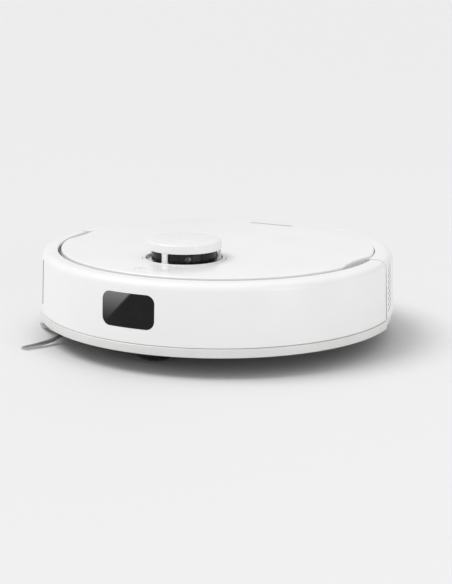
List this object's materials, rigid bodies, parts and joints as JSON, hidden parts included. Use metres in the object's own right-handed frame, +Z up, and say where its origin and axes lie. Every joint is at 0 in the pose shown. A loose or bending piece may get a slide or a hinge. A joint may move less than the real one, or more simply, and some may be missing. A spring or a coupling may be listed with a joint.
{
  "type": "robot vacuum",
  "caption": "Round robot vacuum with laser turret, wrap-around bumper, lift-off cover, dust bin, sprung drive wheels, castor, main brush and side brush.",
  "frame": {"origin": "on the floor under the axis of the round body", "axes": "+Z up, -Y to the front where the bumper window is, +X to the robot's left"},
  "size_m": [0.3498, 0.3488, 0.104],
  "materials": {
    "white_plastic": "satin",
    "filter_paper": "matt",
    "smoke_plastic": "satin",
    "bin_plastic": "satin",
    "black_window": "gloss",
    "black_plastic": "satin",
    "grey_plastic": "satin",
    "black_rubber": "matt",
    "blue_rubber": "matt",
    "green_board": "satin",
    "bright_metal": "satin"
  },
  "bodies": {
    "chassis": {"chassis_base": "black_plastic", "rear_shell": "white_plastic", "rear_skirt": "smoke_plastic", "top_deck": "white_plastic", "front_sensor": "black_plastic", "mainboard": "green_board", "button_board": "green_board", "bumper_switch_left": "black_plastic", "bumper_switch_right": "black_plastic", "battery_pack": "bright_metal", "battery_cover": "black_plastic", "cliff_sensor_1": "black_plastic", "cliff_sensor_2": "black_plastic", "charge_contact_left": "bright_metal", "charge_contact_right": "bright_metal", "turret_base": "white_plastic", "turret_cap": "white_plastic", "lidar_motor": "black_plastic", "lidar_belt": "black_rubber", "wheel_housing_left": "black_plastic", "wheel_housing_right": "black_plastic", "castor_socket": "grey_plastic", "brush_chamber": "black_plastic", "suction_duct": "black_plastic", "brush_motor": "bright_metal", "idler_pin": "bright_metal", "side_brush_gearbox": "grey_plastic", "fan_housing": "black_plastic", "fan_motor": "bright_metal"},
    "bumper": {"bumper_shell": "white_plastic", "bumper_skirt": "smoke_plastic", "front_window": "black_window", "edge_sensor_window": "black_window"},
    "dust_bin": {"dust_bin": "bin_plastic", "bin_filter": "filter_paper"},
    "bin_lid": {"bin_lid": "black_plastic"},
    "top_cover": {"top_cover": "white_plastic", "cover_inlay": "grey_plastic"},
    "power_button": {"power_button": "white_plastic"},
    "home_button": {"home_button": "white_plastic"},
    "lidar_rotor": {"lidar_rotor": "black_plastic"},
    "lidar_pulley": {"lidar_pulley": "black_plastic"},
    "suspension_left": {"wheel_arm_left": "grey_plastic", "wheel_motor_left": "bright_metal"},
    "suspension_right": {"wheel_arm_right": "grey_plastic", "wheel_motor_right": "bright_metal"},
    "wheel_left": {"wheel_hub_left": "grey_plastic", "tyre_left": "black_rubber"},
    "wheel_right": {"wheel_hub_right": "grey_plastic", "tyre_right": "black_rubber"},
    "castor_fork": {"castor_fork": "black_plastic"},
    "castor_wheel": {"castor_wheel": "black_rubber"},
    "main_brush": {"main_brush_core": "grey_plastic", "main_brush_sleeve": "blue_rubber", "brush_gear": "blue_rubber"},
    "idler_gear": {"idler_gear": "grey_plastic"},
    "motor_pinion": {"motor_pinion": "bright_metal"},
    "brush_guard": {"brush_guard": "grey_plastic"},
    "side_brush": {"side_brush": "black_plastic"},
    "fan_impeller": {"fan_impeller": "grey_plastic"}
  },
  "joints": [
    {"name": "bumper_press", "type": "slide", "parent": "chassis", "child": "bumper", "axis": [0, 1, 0], "range_m": [0, 0.0028], "stiffness_N_per_m": 900, "springref_m": -0.001},
    {"name": "bin_lift", "type": "slide", "parent": "chassis", "child": "dust_bin", "axis": [0, 0, 1], "range_m": [0, 0.075]},
    {"name": "bin_lid_lift", "type": "slide", "parent": "dust_bin", "child": "bin_lid", "axis": [0, 0, 1], "range_m": [0, 0.04]},
    {"name": "cover_lift", "type": "slide", "parent": "bin_lid", "child": "top_cover", "axis": [0, 0, 1], "range_m": [0, 0.06]},
    {"name": "power_press", "type": "slide", "parent": "chassis", "child": "power_button", "axis": [0, 0, -1], "range_m": [0, 0.001], "stiffness_N_per_m": 800, "springref_m": -0.0005},
    {"name": "home_press", "type": "slide", "parent": "chassis", "child": "home_button", "axis": [0, 0, -1], "range_m": [0, 0.001], "stiffness_N_per_m": 800, "springref_m": -0.0005},
    {"name": "rotor_spin", "type": "hinge", "parent": "chassis", "child": "lidar_rotor", "pos_m": [0, -0.071, 0.0645], "axis": [0, 0, 1], "continuous": true},
    {"name": "lidar_pulley_spin", "type": "hinge", "parent": "chassis", "child": "lidar_pulley", "pos_m": [0.024, -0.071, 0.075], "axis": [0, 0, 1], "continuous": true},
    {"name": "suspension_left", "type": "hinge", "parent": "chassis", "child": "suspension_left", "pos_m": [0.093, -0.047, 0.045], "axis": [1, 0, 0], "range_deg": [-14, 0], "stiffness_Nm_per_rad": 0.6, "springref_deg": -45.84},
    {"name": "wheel_spin_left", "type": "hinge", "parent": "suspension_left", "child": "wheel_left", "pos_m": [0.11, 0.01, 0.035], "axis": [1, 0, 0], "continuous": true},
    {"name": "suspension_right", "type": "hinge", "parent": "chassis", "child": "suspension_right", "pos_m": [-0.093, -0.047, 0.045], "axis": [1, 0, 0], "range_deg": [-14, 0], "stiffness_Nm_per_rad": 0.6, "springref_deg": -45.84},
    {"name": "wheel_spin_right", "type": "hinge", "parent": "suspension_right", "child": "wheel_right", "pos_m": [-0.11, 0.01, 0.035], "axis": [1, 0, 0], "continuous": true},
    {"name": "castor_swivel", "type": "hinge", "parent": "chassis", "child": "castor_fork", "pos_m": [0, -0.128, 0.033], "axis": [0, 0, 1], "continuous": true},
    {"name": "castor_spin", "type": "hinge", "parent": "castor_fork", "child": "castor_wheel", "pos_m": [0, -0.125, 0.014], "axis": [1, 0, 0], "continuous": true},
    {"name": "main_brush_spin", "type": "hinge", "parent": "chassis", "child": "main_brush", "pos_m": [0, 0.003, 0.022], "axis": [1, 0, 0], "continuous": true},
    {"name": "idler_spin", "type": "hinge", "parent": "chassis", "child": "idler_gear", "pos_m": [0.0813, -0.01369, 0.03869], "axis": [1, 0, 0], "continuous": true},
    {"name": "pinion_spin", "type": "hinge", "parent": "chassis", "child": "motor_pinion", "pos_m": [0.0813, -0.03101, 0.05601], "axis": [1, 0, 0], "continuous": true},
    {"name": "guard_unclip", "type": "slide", "parent": "chassis", "child": "brush_guard", "axis": [0, 0, -1], "range_m": [0, 0.03]},
    {"name": "side_brush_spin", "type": "hinge", "parent": "chassis", "child": "side_brush", "pos_m": [-0.12, -0.093, 0.013], "axis": [0, 0, 1], "continuous": true},
    {"name": "fan_spin", "type": "hinge", "parent": "chassis", "child": "fan_impeller", "pos_m": [0.096, 0.09, 0.0251], "axis": [0, 0, 1], "continuous": true}
  ],
  "couplings": [
    {"joint": "lidar_pulley_spin", "follows": "rotor_spin", "ratio": 4.6667},
    {"joint": "idler_spin", "follows": "main_brush_spin", "ratio": -0.3},
    {"joint": "pinion_spin", "follows": "main_brush_spin", "ratio": 0.85714}
  ]
}
